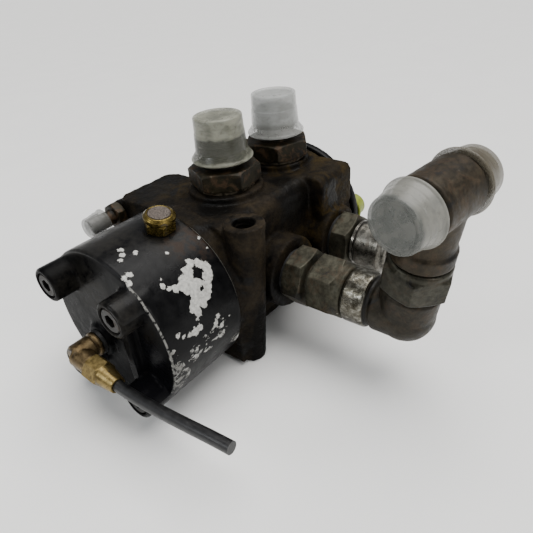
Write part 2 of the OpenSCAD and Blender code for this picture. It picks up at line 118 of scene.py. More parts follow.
class Paint:
    """Builds one procedural material around a Principled BSDF."""

    def __init__(self, name):
        self.material = bpy.data.materials.new(name)
        self.material.use_nodes = True
        self.tree = self.material.node_tree
        self.shader = self.tree.nodes["Principled BSDF"]
        coords = self.tree.nodes.new("ShaderNodeTexCoord")
        self.at = self.vector("SCALE", coords.outputs["Object"], scale=1000)
        self.heights = []

    def link(self, source, target):
        if isinstance(source, bpy.types.NodeSocket):
            self.tree.links.new(source, target)
        else:
            target.default_value = source

    def vector(self, operation, a, b=None, scale=None):
        node = self.tree.nodes.new("ShaderNodeVectorMath")
        node.operation = operation
        self.link(a, node.inputs[0])
        if b is not None:
            self.link(b, node.inputs[1])
        if scale is not None:
            node.inputs["Scale"].default_value = scale
        return node.outputs["Value" if operation in ("DISTANCE", "LENGTH", "DOT_PRODUCT") else "Vector"]

    def math(self, operation, a, b=0.0, clamp=False, third=None):
        node = self.tree.nodes.new("ShaderNodeMath")
        node.operation = operation
        node.use_clamp = clamp
        self.link(a, node.inputs[0])
        self.link(b, node.inputs[1])
        if third is not None:
            node.inputs[2].default_value = third
        return node.outputs[0]

    def span(self, value, low, high, to_low=0.0, to_high=1.0):
        """Maps low..high smoothly to to_low..to_high, clamped."""
        node = self.tree.nodes.new("ShaderNodeMapRange")
        node.interpolation_type = "SMOOTHSTEP"
        self.link(value, node.inputs["Value"])
        for key, number in (("From Min", low), ("From Max", high), ("To Min", to_low), ("To Max", to_high)):
            node.inputs[key].default_value = number
        return node.outputs["Result"]

    def noise(self, size, detail=4.0, rough=0.55, twist=0.0, stretch=(1, 1, 1), shift=0.0, colour=False):
        """Noise whose features are about size millimetres."""
        node = self.tree.nodes.new("ShaderNodeTexNoise")
        place = self.vector("MULTIPLY", self.at, stretch)
        if shift:
            place = self.vector("ADD", place, (shift, shift * 0.7, -shift))
        self.link(place, node.inputs["Vector"])
        node.inputs["Scale"].default_value = 1.0 / size
        node.inputs["Detail"].default_value = detail
        node.inputs["Roughness"].default_value = rough
        node.inputs["Distortion"].default_value = twist
        return node.outputs["Color" if colour else "Fac"]

    def cells(self, size, shift=0.0):
        node = self.tree.nodes.new("ShaderNodeTexVoronoi")
        place = self.vector("ADD", self.at, (shift, shift, shift))
        self.link(place, node.inputs["Vector"])
        node.inputs["Scale"].default_value = 1.0 / size
        return node.outputs["Distance"]

    def ramp(self, value, stops):
        node = self.tree.nodes.new("ShaderNodeValToRGB")
        self.link(value, node.inputs["Fac"])
        elements = node.color_ramp.elements
        while len(elements) < len(stops):
            elements.new(0.5)
        for element, (place, colour) in zip(elements, stops):
            element.position = place
            element.color = (*colour, 1)
        return node.outputs["Color"]

    def mix(self, amount, a, b):
        node = self.tree.nodes.new("ShaderNodeMix")
        node.data_type = "RGBA"
        self.link(amount, node.inputs["Factor"])
        self.link((*a, 1) if isinstance(a, tuple) else a, node.inputs["A"])
        self.link((*b, 1) if isinstance(b, tuple) else b, node.inputs["B"])
        return node.outputs["Result"]

    def blend(self, amount, a, b):
        node = self.tree.nodes.new("ShaderNodeMix")
        node.data_type = "FLOAT"
        self.link(amount, node.inputs["Factor"])
        self.link(a, node.inputs["A"])
        self.link(b, node.inputs["B"])
        return node.outputs["Result"]

    def warped(self, size, reach):
        """The position, pushed about by noise."""
        push = self.vector("SUBTRACT", self.noise(size, 3.0, colour=True), (0.5, 0.5, 0.5))
        return self.vector("ADD", self.at, self.vector("SCALE", push, scale=reach))

    def blob(self, place, radius, soft=0.3, at=None):
        """1 within radius of place, fading to 0 over soft times the radius."""
        distance = self.vector("DISTANCE", at or self.at, place)
        return self.span(distance, radius * (1 + soft), radius * (1 - soft))

    def most(self, masks):
        total = masks[0]
        for mask in masks[1:]:
            total = self.math("MAXIMUM", total, mask)
        return total

    def edges(self, low, high):
        node = self.tree.nodes.new("ShaderNodeNewGeometry")
        return self.span(node.outputs["Pointiness"], low, high)

    def relief(self, height, depth):
        """Adds a bump of that depth in millimetres."""
        self.heights.append(self.math("MULTIPLY", height, depth))

    def finish(self, colour, rough, metal=0.0, **sockets):
        self.link(colour, self.shader.inputs["Base Color"])
        self.link(rough, self.shader.inputs["Roughness"])
        self.link(metal, self.shader.inputs["Metallic"])
        for key, value in sockets.items():
            self.link(value, self.shader.inputs[key.replace("_", " ")])
        if self.heights:
            total = self.heights[0]
            for height in self.heights[1:]:
                total = self.math("ADD", total, height)
            bump = self.tree.nodes.new("ShaderNodeBump")
            bump.inputs["Distance"].default_value = MM
            bump.inputs["Strength"].default_value = 1.0
            self.link(total, bump.inputs["Height"])
            self.link(bump.outputs["Normal"], self.shader.inputs["Normal"])
        return self.material


# ---- materials ----

def floor_material():
    p = Paint("floor")
    tone = p.noise(60, 3)
    return p.finish(p.ramp(tone, [(0.3, (0.90, 0.90, 0.89)), (0.7, (0.92, 0.92, 0.91))]), 0.75)


def cast_iron():
    p = Paint("cast_iron")
    big = p.noise(22, 5, 0.6, 0.6)
    mid = p.noise(6, 5, 0.65, 0.4, shift=31)
    fine = p.noise(1.1, 4, 0.6, shift=7)
    tone = p.math("ADD", p.math("MULTIPLY", big, 0.6), p.math("MULTIPLY", mid, 0.4))
    colour = p.ramp(tone, [(0.36, (0.0024, 0.002, 0.0016)), (0.47, (0.0072, 0.0055, 0.0039)),
                           (0.57, (0.0160, 0.0118, 0.0066)), (0.70, (0.034, 0.0250, 0.0135))])
    warped = p.warped(7, 9)
    rust = p.most([
        p.blob((-40, 40, 70), 17, 0.45, warped), p.blob((-22, 38, 60), 13, 0.5, warped),
        p.blob((-30, 10, 84), 12, 0.5, warped), p.blob((-8, 44, 52), 12, 0.5, warped),
        p.blob((-55, 20, 78), 12, 0.5, warped), p.blob((30, -30, 84), 12, 0.5, warped),
        p.blob((-40, -30, 70), 22, 0.5, warped),
    ])
    rust = p.math("MULTIPLY", rust, p.span(p.noise(9, 4, 0.5, 0.8, shift=47), 0.40, 0.62))
    ochre = p.ramp(fine, [(0.3, (0.022, 0.0132, 0.0040)), (0.55, (0.050, 0.0325, 0.0095)),
                          (0.75, (0.092, 0.063, 0.020))])
    colour = p.mix(p.math("MULTIPLY", rust, 0.62), colour, ochre)
    grey = p.most([p.blob((40, 42, 84), 14, 0.4, warped), p.blob((44, 40, 50), 12, 0.6, warped),
                   p.blob((14, 22, 84), 12, 0.5, warped)])
    colour = p.mix(p.math("MULTIPLY", grey, 0.55), colour,
                   p.ramp(mid, [(0.35, (0.013, 0.0098, 0.0065)), (0.65, (0.040, 0.0300, 0.0190))]))
    oil = p.most([
        p.blob((-12, 30, 72), 15, 0.35, warped), p.blob((-12, 22, 84), 8, 0.4, warped),
        p.blob((34, -36, 74), 17, 0.4, warped), p.blob((34, 12, 82), 11, 0.4, warped),
        p.blob((28, 40, 40), 12, 0.5, warped), p.blob((2, -30, 40), 18, 0.5, warped),
    ])
    oil = p.most([oil, p.span(big, 0.44, 0.36)])
    colour = p.mix(p.math("MULTIPLY", oil, 0.88), colour, (0.0022, 0.002, 0.0018))
    worn = p.math("MULTIPLY", p.edges(0.53, 0.60), p.span(mid, 0.40, 0.62))
    colour = p.mix(p.math("MULTIPLY", worn, 0.7), colour, (0.085, 0.056, 0.035))
    # Painted shade: darker in creases and inner corners, where pointiness is low
    colour = p.mix(p.math("MULTIPLY", p.edges(0.485, 0.44), 0.8), colour, (0.005, 0.004, 0.003))
    # Painted shade: near black inside the ear holes
    flat = p.vector("MULTIPLY", p.at, (1, 1, 0))
    ears = [p.vector("DISTANCE", flat, (EAR_X * side, EAR_Y * side, 0)) for side in (1, -1)]
    hole_shade = p.most([p.span(away, EAR_HOLE_R + 1, EAR_HOLE_R + 0.4) for away in ears])
    colour = p.mix(p.math("MULTIPLY", hole_shade, 0.9), colour, (0.0012, 0.001, 0.0009))
    rough = p.blend(oil, p.span(fine, 0.3, 0.7, 0.50, 0.78), 0.40)
    p.relief(mid, 0.28)
    p.relief(fine, 0.20)
    p.relief(p.cells(1.6, 5), 0.10)
    return p.finish(colour, rough, 0.0, Specular_IOR_Level=p.blend(oil, 0.07, 0.10))


def black_paint():
    p = Paint("chipped_black_paint")
    big = p.noise(26, 4, 0.55, 0.5)
    mid = p.noise(5, 5, 0.6, 0.2, shift=12)
    fine = p.noise(0.9, 4, 0.6, shift=3)
    colour = p.ramp(p.math("ADD", p.math("MULTIPLY", big, 0.55), p.math("MULTIPLY", mid, 0.45)),
                    [(0.35, (0.0014, 0.0014, 0.0017)), (0.50, (0.0032, 0.0032, 0.0036)),
                     (0.68, (0.009, 0.009, 0.0093))])
    rough = p.span(mid, 0.3, 0.7, 0.26, 0.42)
    warped = p.warped(11, 6)
    # Road dust on the top of the barrel and on the end's left half
    dust = p.most([p.blob((92, -6, 88), 15, 0.6, warped), p.blob((70, 14, 88), 14, 0.6, warped),
                   p.blob((108, -8, 66), 16, 0.5, warped), p.blob((116, 26, 70), 11, 0.3, warped)])
    dust = p.math("MULTIPLY", dust, p.span(mid, 0.30, 0.60))
    colour = p.mix(p.math("MULTIPLY", dust, 0.55), colour, p.ramp(fine, [
        (0.3, (0.011, 0.0100, 0.0082)), (0.7, (0.030, 0.027, 0.022))]))
    brown = p.math("MULTIPLY", p.blob((66, 24, 84), 11, 0.5, warped), p.span(mid, 0.42, 0.60))
    colour = p.mix(p.math("MULTIPLY", brown, 0.6), colour, (0.030, 0.015, 0.007))
    # Bare metal showing through the paint: place along the barrel, degrees round it from the top, radius
    flakes = [(74, 43.5, 2.2), (70, 46.5, 2.4), (68, 51, 2.4), (70, 56.5, 2.8), (73.5, 60.5, 2.8),
              (78, 47, 2.8), (79, 50.5, 2.6), (81.5, 50, 2.8), (83, 56.5, 2.1), (80, 53.5, 3.2),
              (84.5, 52.5, 2.4), (88, 51.2, 1.8), (90.5, 49.5, 1.2), (92.5, 46, 0.9), (91.5, 42.5, 0.5),
              (77.5, 56.5, 3.2), (80.5, 60.5, 3.2), (76, 64, 3.2), (82.5, 65, 3.0), (79.5, 67.5, 2.4),
              (85.5, 67, 1.9), (84, 71.5, 2.0), (86, 74, 0.9), (86, 80, 1.6), (89, 80.3, 1.8),
              (92.5, 79.6, 1.1), (96, 78, 0.9), (99, 75.5, 1.2), (74, 82, 1.2), (76, 84.5, 1.1),
              (73, 89.5, 1.2), (72.5, 95, 1.0), (75, 97, 0.8), (67, 87, 0.4), (94.5, 12, 1.3),
              (96.5, 16, 1.1), (91, 19, 1.0), (99, 19, 0.8), (101.5, 30, 1.5), (104.5, 30, 1.2),
              (104.3, 34.5, 1.3), (79.5, 30.5, 0.3), (60, 33, 0.8), (61, 41, 0.3), (60.5, 114, 1.9)]

    def reach_of(spots, soft):
        total = None
        for x, turn, radius in spots:
            angle = math.radians(turn)
            spot = (x, BARREL_R * math.sin(angle), BARREL_Z + BARREL_R * math.cos(angle))
            reach = p.math("SUBTRACT", radius, p.vector("DISTANCE", p.at, spot))
            total = reach if total is None else p.math("SMOOTH_MAX", total, reach, third=soft)
        return total

    torn = p.math("MULTIPLY", p.math("SUBTRACT", p.noise(3.4, 7, 0.72, 0.3, shift=9), 0.5), 5.0)
    nick = p.math("MULTIPLY", p.math("SUBTRACT", p.noise(1.3, 4, 0.6, 0.4, stretch=(0.8, 1, 1), shift=33),
                                     0.5), 2.4)
    gaps = reach_of([(74, 51, 1.7), (76.5, 60, 0.9)], 0.1)
    inside = p.math("MINIMUM", p.math("ADD", reach_of(flakes, 1.4), 0.25), p.math("MULTIPLY", gaps, -1.0))
    inside = p.math("ADD", inside, p.math("ADD", torn, nick))
    parts = p.tree.nodes.new("ShaderNodeSeparateXYZ")
    p.link(p.at, parts.inputs[0])
    along = parts.outputs[0]
    radial = p.vector("LENGTH", p.vector("MULTIPLY", p.vector("SUBTRACT", p.at, (0, 0, BARREL_Z)), (0, 1, 1)))
    barrel = p.math("MULTIPLY", p.math("GREATER_THAN", radial, BARREL_SKIN),
                    p.math("LESS_THAN", along, BARREL_FRONT))
    bare = p.math("MULTIPLY", p.span(inside, 0.0, 0.18), barrel)
    # Scratched paint low on the front of the barrel and round the front rim
    flecks = p.noise(2.3, 7, 0.68, 0.5, stretch=(0.6, 1, 1), shift=20)
    where = p.most([p.blob((76, 44.6, 44), 6, 0.6, warped), p.blob((84, 44.9, 42), 6, 0.6, warped),
                    p.blob((91, 44.9, 41), 5, 0.5, warped)])
    scrape = p.most([p.blob((105, 44, 49), 3.5, 0.5, warped), p.blob((103.5, 44, 40), 4.5, 0.5, warped),
                     p.blob((101, 43, 32), 5.5, 0.5, warped), p.blob((104, 41, 26), 4.5, 0.5, warped),
                     p.blob((62, 42, 28), 4, 0.5, warped)])
    faint = p.most([p.blob((72, 32, 76), 15, 0.6, warped), p.blob((101, 38, 66), 8, 0.6, warped),
                    p.blob((66, 43, 35), 9, 0.6, warped), p.blob((60, 34, 74), 9, 0.6, warped)])
    fine_chips = p.most([p.math("MULTIPLY", where, p.span(flecks, 0.55, 0.57)),
                         p.math("MULTIPLY", scrape, p.span(flecks, 0.49, 0.52)),
                         p.math("MULTIPLY", faint, p.span(flecks, 0.68, 0.70))])
    fine_chips = p.math("MULTIPLY", p.math("GREATER_THAN", fine_chips, 0.45), barrel)
    corner = p.math("MULTIPLY", p.span(along, 105.0, 105.4), p.span(radial, 43.9, 44.3))
    corner = p.math("MULTIPLY", corner, p.math("LESS_THAN", along, BARREL_FRONT))
    rim_zone = p.most([p.blob((106, 33, 75), 9, 0.3, warped), p.blob((106, 41, 61), 9, 0.3, warped),
                       p.blob((106, 43, 40), 16, 0.3, warped)])
    rim = p.math("MULTIPLY", p.math("MULTIPLY", corner, rim_zone),
                 p.span(p.noise(1.8, 6, 0.7, shift=4), 0.45, 0.50))
    worn = p.math("MULTIPLY", p.edges(0.56, 0.62), p.span(p.noise(4, 4, shift=44), 0.58, 0.62))
    dull = p.most([p.math("MULTIPLY", fine_chips, p.math("MAXIMUM", scrape, 0.25)), rim])
    bare = p.most([bare, fine_chips, rim, p.math("MULTIPLY", worn, 0.25)])
    metal_tone = p.ramp(p.noise(1.4, 4, 0.6, shift=2), [(0.30, (0.30, 0.295, 0.275)),
                                                        (0.50, (0.47, 0.465, 0.44)),
                                                        (0.70, (0.60, 0.595, 0.56))])
    metal_tone = p.mix(p.math("MULTIPLY", dull, 0.75), metal_tone, (0.115, 0.112, 0.102))
    colour = p.mix(bare, colour, metal_tone)
    rough = p.blend(bare, rough, 0.52)
    # Oil and dirt low on the end face, then painted shade in the corners
    oily = p.most([p.blob((108, 26, 26), 15, 0.4, warped), p.blob((106, 32, 45), 8, 0.4, warped),
                   p.blob((70, 8, 92), 9.5, 0.25, warped)])
    colour = p.mix(p.math("MULTIPLY", oily, 0.85), colour, (0.004, 0.004, 0.005))
    rough = p.blend(oily, rough, 0.25)
    # Painted shade: darker in creases and inner corners, where pointiness is low
    colour = p.mix(p.math("MULTIPLY", p.edges(0.48, 0.44), 0.7), colour, (0.006, 0.005, 0.005))
    p.relief(p.math("SUBTRACT", 1.0, bare), 0.16)
    p.relief(mid, 0.10)
    p.relief(fine, 0.035)
    return p.finish(colour, rough, p.math("MULTIPLY", bare, 0.15),
                    Specular_IOR_Level=p.blend(p.math("GREATER_THAN", radial, BARREL_SKIN), 0.03, 0.12))


def steel(name, tones, shine=0.40, metal=0.75, brown=0.35, scratch=(1, 1, 1), worn=(0.30, 0.28, 0.25),
          bright=None, pitted=0.0):
    """Plated or oxidised steel with random dirt, painted shade in its corners and worn edges. bright is the
    axis, low and high of a band polished by handling, with a dark band past its far end; pitted gives the skin
    of a forging."""
    p = Paint(name)
    big = p.noise(11, 5, 0.6, 0.5)
    mid = p.noise(2.8, 5, 0.65, 0.3, shift=15)
    fine = p.noise(0.5, 3, 0.6, shift=5)
    tone = p.math("ADD", p.math("MULTIPLY", big, 0.5), p.math("MULTIPLY", mid, 0.5))
    dark, middle, light = tones
    colour = p.ramp(tone, [(0.36, dark), (0.50, middle), (0.66, light)])
    rust = p.math("MULTIPLY", p.span(p.noise(7, 5, 0.7, 0.8, shift=70), 0.50, 0.62), brown)
    colour = p.mix(rust, colour, p.ramp(fine, [(0.35, (0.040, 0.022, 0.012)), (0.65, (0.105, 0.060, 0.030))]))
    lines = p.noise(0.35, 3, 0.7, stretch=scratch, shift=50)
    scratched = p.math("MULTIPLY", p.span(lines, 0.62, 0.70), p.span(mid, 0.42, 0.60))
    colour = p.mix(p.math("MULTIPLY", scratched, 0.35), colour, worn)
    edge = p.math("MULTIPLY", p.edges(0.53, 0.60), p.span(mid, 0.36, 0.58))
    colour = p.mix(p.math("MULTIPLY", edge, 0.75), colour, worn)
    polish = 0.0
    if bright:
        parts = p.tree.nodes.new("ShaderNodeSeparateXYZ")
        p.link(p.at, parts.inputs[0])
        axis, low, high = bright
        reach = parts.outputs[axis]
        polish = p.math("MULTIPLY", p.span(reach, low - 0.4, low + 0.4),
                        p.span(reach, high + 0.4, high - 0.4))
        streak = p.noise(2.2, 5, 0.7, 0.6, stretch=(1, 0.5, 1), shift=61)
        polished = p.ramp(p.math("ADD", p.math("MULTIPLY", streak, 0.6), p.math("MULTIPLY", mid, 0.4)),
                          [(0.38, (0.035, 0.030, 0.020)), (0.50, (0.110, 0.102, 0.080)),
                           (0.64, (0.330, 0.320, 0.280))])
        colour = p.mix(polish, colour, polished)
    if pitted:
        pits = p.math("MULTIPLY", p.span(p.cells(1.3, 9), 0.26, 0.12), p.span(mid, 0.48, 0.60))
        colour = p.mix(p.math("MULTIPLY", pits, 0.6), colour, dark)
        p.relief(p.math("SUBTRACT", 1.0, pits), 0.10 * pitted)
        p.relief(p.noise(1.2, 4, 0.6, shift=81), 0.12 * pitted)
    # Random dirt from noise, with painted shade in creases and inner corners where pointiness is low
    grime_and_shade = p.math("MAXIMUM", p.edges(0.485, 0.44), p.span(big, 0.42, 0.33))
    if bright:
        gap = p.math("MULTIPLY", p.span(reach, high - 0.2, high + 0.3), p.span(reach, high + 2.4, high + 1.4))
        grime_and_shade = p.math("MAXIMUM", p.math("MULTIPLY", grime_and_shade, p.math("SUBTRACT", 1.0, polish)), gap)
    colour = p.mix(p.math("MULTIPLY", grime_and_shade, 0.85), colour, (0.004, 0.0034, 0.0028))
    rough = p.blend(rust, p.span(mid, 0.3, 0.7, shine - 0.08, shine + 0.14), 0.65)
    rough = p.blend(edge, rough, shine - 0.08)
    if bright:
        rough = p.blend(polish, rough, 0.27)
        metal = p.blend(polish, metal, 0.9)
    p.relief(mid, 0.05)
    p.relief(fine, 0.035)
    p.relief(lines, 0.03)
    return p.finish(colour, rough, p.blend(p.math("MAXIMUM", rust, grime_and_shade), metal, 0.05),
                    Specular_IOR_Level=0.22)


def brass(name, tones, shine=0.32, pits=1.0):
    p = Paint(name)
    big = p.noise(7, 4, 0.6, 0.6)
    mid = p.noise(1.8, 5, 0.65, 0.2, shift=8)
    fine = p.noise(0.4, 3, shift=2)
    dark, middle, light = tones
    colour = p.ramp(p.math("ADD", p.math("MULTIPLY", big, 0.55), p.math("MULTIPLY", mid, 0.45)),
                    [(0.36, dark), (0.50, middle), (0.64, light)])
    pit = p.math("MULTIPLY", p.span(p.cells(1.1, 3), 0.24, 0.14), p.span(mid, 0.50, 0.62))
    pit = p.math("MULTIPLY", pit, pits)
    colour = p.mix(p.math("MULTIPLY", pit, 0.85), colour, (0.020, 0.010, 0.004))
    grime_and_shade = p.span(big, 0.40, 0.32)
    if pits:
        edge = p.math("MULTIPLY", p.edges(0.53, 0.60), p.span(mid, 0.36, 0.58))
        colour = p.mix(p.math("MULTIPLY", edge, 0.4), colour, (0.50, 0.37, 0.16))
        # Painted shade in creases and inner corners, where pointiness is low, joins the random dirt
        grime_and_shade = p.math("MAXIMUM", p.edges(0.485, 0.44), grime_and_shade)
    colour = p.mix(p.math("MULTIPLY", grime_and_shade, 0.85), colour, (0.012, 0.008, 0.004))
    p.relief(p.math("SUBTRACT", 1.0, pit), 0.10)
    p.relief(mid, 0.05)
    p.relief(fine, 0.02)
    return p.finish(colour, p.span(mid, 0.3, 0.7, shine - 0.06, shine + 0.16), p.blend(grime_and_shade, 0.9, 0.1))


def sintered():
    p = Paint("sintered_bronze")
    grains, fine = p.cells(0.55, 1), p.noise(0.5, 3)
    colour = p.ramp(p.math("ADD", p.math("MULTIPLY", grains, 0.7), p.math("MULTIPLY", fine, 0.5)),
                    [(0.25, (0.22, 0.185, 0.155)), (0.50, (0.13, 0.105, 0.088)),
                     (0.72, (0.050, 0.038, 0.031))])
    p.relief(p.math("SUBTRACT", 1.0, grains), 0.22)
    return p.finish(colour, 0.62, 0.25)


def cap_plastic(name, tint, dirt_and_shade_tint, dirt_and_shade, thick, axis, low, high):
    """Milky polyethylene with random dirt; a band of painted shade lies between low and high along axis,
    standing for the darker inside seen through the wall. thick is one surface's opacity.
    """
    p = Paint(name)
    big, mid = p.noise(10, 4, 0.55, 0.6), p.noise(3.5, 4, 0.6, shift=6)
    along = p.vector("DOT_PRODUCT", p.at, axis)
    # Painted shade: a darker band between low and high, as if the shaded inside showed through the wall
    shade_band = p.math("MULTIPLY", p.span(along, low - 2.5, low), p.span(along, high + 2.5, high))
    across = tuple(1.0 + 1.2 * abs(c) for c in axis)
    smear = p.noise(6.0, 4, 0.5, 0.6, stretch=across, shift=23)
    soil_and_shade = p.span(p.math("ADD", p.math("MULTIPLY", big, 0.5), p.math("MULTIPLY", smear, 0.5)), 0.38, 0.66)
    soil_and_shade = p.math("MULTIPLY", soil_and_shade, dirt_and_shade)
    soil_and_shade = p.math("ADD", soil_and_shade, p.math("MULTIPLY", shade_band, min(1.0, dirt_and_shade * 1.3)), clamp=True)
    colour = p.mix(soil_and_shade, p.ramp(mid, [(0.30, tint), (0.70, tuple(min(1.0, c * 1.05) for c in tint))]),
                   dirt_and_shade_tint)
    p.relief(big, 0.12)
    p.relief(mid, 0.03)
    return p.finish(colour, p.span(mid, 0.3, 0.7, 0.26, 0.38), 0.0, Alpha=thick, Specular_IOR_Level=0.45)


def rubber(name, colour_low, colour_high, shine=0.45):
    p = Paint(name)
    mid, fine = p.noise(3, 4), p.noise(0.5, 3, shift=4)
    p.relief(mid, 0.04)
    p.relief(fine, 0.02)
    return p.finish(p.ramp(mid, [(0.35, colour_low), (0.65, colour_high)]),
                    p.span(fine, 0.3, 0.7, shine - 0.06, shine + 0.12))


def tube_nylon():
    p = Paint("black_nylon")
    mid = p.noise(4, 4, shift=3)
    lines = p.noise(0.6, 3, 0.7, stretch=(1, 0.12, 1), shift=13)
    worn = p.math("MULTIPLY", p.span(lines, 0.58, 0.68), p.span(mid, 0.45, 0.62))
    plain = p.ramp(mid, [(0.35, (0.004, 0.004, 0.0045)), (0.65, (0.012, 0.012, 0.0125))])
    colour = p.mix(p.math("MULTIPLY", worn, 0.6), plain, (0.045, 0.044, 0.042))
    p.relief(lines, 0.025)
    return p.finish(colour, p.span(lines, 0.3, 0.7, 0.30, 0.48))


FLOOR = floor_material()
CAST = cast_iron()
PAINT = black_paint()
OLIVE_TONES = ((0.0035, 0.0029, 0.0012), (0.0105, 0.0085, 0.0036), (0.028, 0.0220, 0.0105))
OLIVE_WORN = (0.12, 0.10, 0.07)
OLIVE = steel("olive_steel", OLIVE_TONES, 0.44, 0.35, 0.60, worn=OLIVE_WORN)
OLIVE_BAND = steel("olive_steel_banded", OLIVE_TONES, 0.44, 0.35, 0.60, worn=OLIVE_WORN,
                   bright=(2, 111.5, 117.0))
GREY = steel("line_steel", ((0.015, 0.014, 0.0092), (0.039, 0.0365, 0.0250), (0.080, 0.076, 0.055)),
             0.44, 0.50, 0.28, worn=(0.26, 0.245, 0.21))
NUT_T = steel("tee_nut_steel", ((0.012, 0.0115, 0.008), (0.030, 0.0285, 0.0205), (0.064, 0.061, 0.046)),
              0.36, 0.55, 0.15, worn=(0.058, 0.055, 0.044))
BRIGHT = steel("bright_steel", ((0.045, 0.043, 0.036), (0.120, 0.114, 0.098), (0.270, 0.260, 0.230)),
               0.27, 0.85, 0.20)
FORGED = steel("forged_steel", ((0.009, 0.0075, 0.0050), (0.022, 0.0188, 0.0130), (0.046, 0.040, 0.0290)),
               0.46, 0.36, 0.22, worn=(0.15, 0.13, 0.105), bright=(1, 83.6, 96.2), pitted=0.6)
TEE = steel("forged_tee", ((0.010, 0.0078, 0.0046), (0.025, 0.0192, 0.0115), (0.052, 0.0405, 0.0250)),
            0.46, 0.35, 0.24, worn=(0.19, 0.16, 0.13), pitted=0.5)
OXIDE = steel("black_oxide", ((0.003, 0.003, 0.003), (0.007, 0.0068, 0.0065), (0.018, 0.017, 0.016)),
              0.45, 0.30, 0.25, worn=(0.06, 0.056, 0.052))
GROUND = steel("ground_steel", ((0.34, 0.34, 0.35), (0.46, 0.46, 0.47), (0.58, 0.58, 0.59)),
               0.22, 1.0, 0.04, scratch=(3, 1, 1), worn=(0.7, 0.7, 0.7))
ALUMINIUM = steel("bare_aluminium", ((0.40, 0.41, 0.42), (0.52, 0.53, 0.54), (0.64, 0.65, 0.66)),
                  0.34, 0.95, 0.05, worn=(0.75, 0.75, 0.76))
SPRING = steel("spring_steel", ((0.10, 0.10, 0.10), (0.20, 0.20, 0.20), (0.32, 0.32, 0.32)),
               0.30, 0.95, 0.10)
BRASS = brass("brass", ((0.080, 0.056, 0.020), (0.215, 0.155, 0.056), (0.350, 0.262, 0.105)))
BREATHER = brass("breather_brass", ((0.085, 0.060, 0.014), (0.130, 0.093, 0.023), (0.185, 0.135, 0.038)),
                 0.24, 0.0)
ELBOW_BRASS = brass("elbow_brass", ((0.036, 0.024, 0.011), (0.110, 0.076, 0.036), (0.200, 0.146, 0.076)),
                    0.38, 0.7)
SINTERED = sintered()
RUBBER = rubber("rubber", (0.008, 0.008, 0.008), (0.022, 0.022, 0.022))
GASKET = rubber("gasket_paper", (0.050, 0.048, 0.040), (0.095, 0.090, 0.075), 0.70)
GUIDE = rubber("guide_plastic", (0.62, 0.59, 0.48), (0.72, 0.69, 0.58), 0.40)
YELLOW = rubber("yellow_plastic", (0.19, 0.225, 0.022), (0.26, 0.31, 0.040), 0.38)
NYLON = tube_nylon()


# ---- mesh helpers ----

def place(x=0, y=0, z=0, turn=(0, 0, 0)):
    """A move, then turns in degrees about Z, Y and X, as one matrix in millimetres."""
    a, b, c = (math.radians(t) for t in turn)
    return (Matrix.Translation((x, y, z)) @ Matrix.Rotation(c, 4, "Z") @ Matrix.Rotation(b, 4, "Y")
            @ Matrix.Rotation(a, 4, "X"))


def make(name, vertices, faces, material, at=Matrix(), smooth=True):
    """A new object whose mesh is in the model's frame; vertices are millimetres."""
    mesh = bpy.data.meshes.new(name)
    mesh.from_pydata([tuple((at @ Vector(v)) * MM) for v in vertices], [], faces)
    mesh.validate()
    obj = bpy.data.objects.new(name, mesh)
    bpy.context.scene.collection.objects.link(obj)
    mesh.materials.append(material)
    bm = bmesh.new()
    bm.from_mesh(mesh)
    bmesh.ops.recalc_face_normals(bm, faces=bm.faces)
    bm.to_mesh(mesh)
    bm.free()
    mesh.polygons.foreach_set("use_smooth", [smooth] * len(mesh.polygons))
    return obj


def stand_in(obj, body, nodes):
    """The piece rides on the body and stands for those CAD nodes."""
    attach(obj, body)
    if nodes:
        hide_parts(*nodes)
    return obj


def rounded(profile, radius, steps=4):
    """Rounds the corners of a closed outline of [r, z] points that don't lie on the axis."""
    out = []
    count = len(profile)
    for i, point in enumerate(profile):
        b = Vector(point)
        a, c = Vector(profile[i - 1]), Vector(profile[(i + 1) % count])
        if b.x < 1e-6:
            out.append(tuple(b))
            continue
        reach = min(radius, (a - b).length * 0.45, (c - b).length * 0.45)
        start, end = b + (a - b).normalized() * reach, b + (c - b).normalized() * reach
        for k in range(steps + 1):
            t = k / steps
            out.append(tuple(start * (1 - t) ** 2 + b * 2 * t * (1 - t) + end * t * t))
    return out


def lathe(profile, sides):
    """Vertices and faces of a closed outline turned about Z."""
    vertices, faces = [], []
    count = len(profile)
    for k in range(sides):
        angle = 2 * math.pi * k / sides
        for r, z in profile:
            vertices.append((r * math.cos(angle), r * math.sin(angle), z))
    for k in range(sides):
        n = (k + 1) % sides
        for i in range(count):
            j = (i + 1) % count
            if profile[i][0] < 1e-6 and profile[j][0] < 1e-6:
                continue
            faces.append((k * count + i, n * count + i, n * count + j, k * count + j))
    return vertices, faces


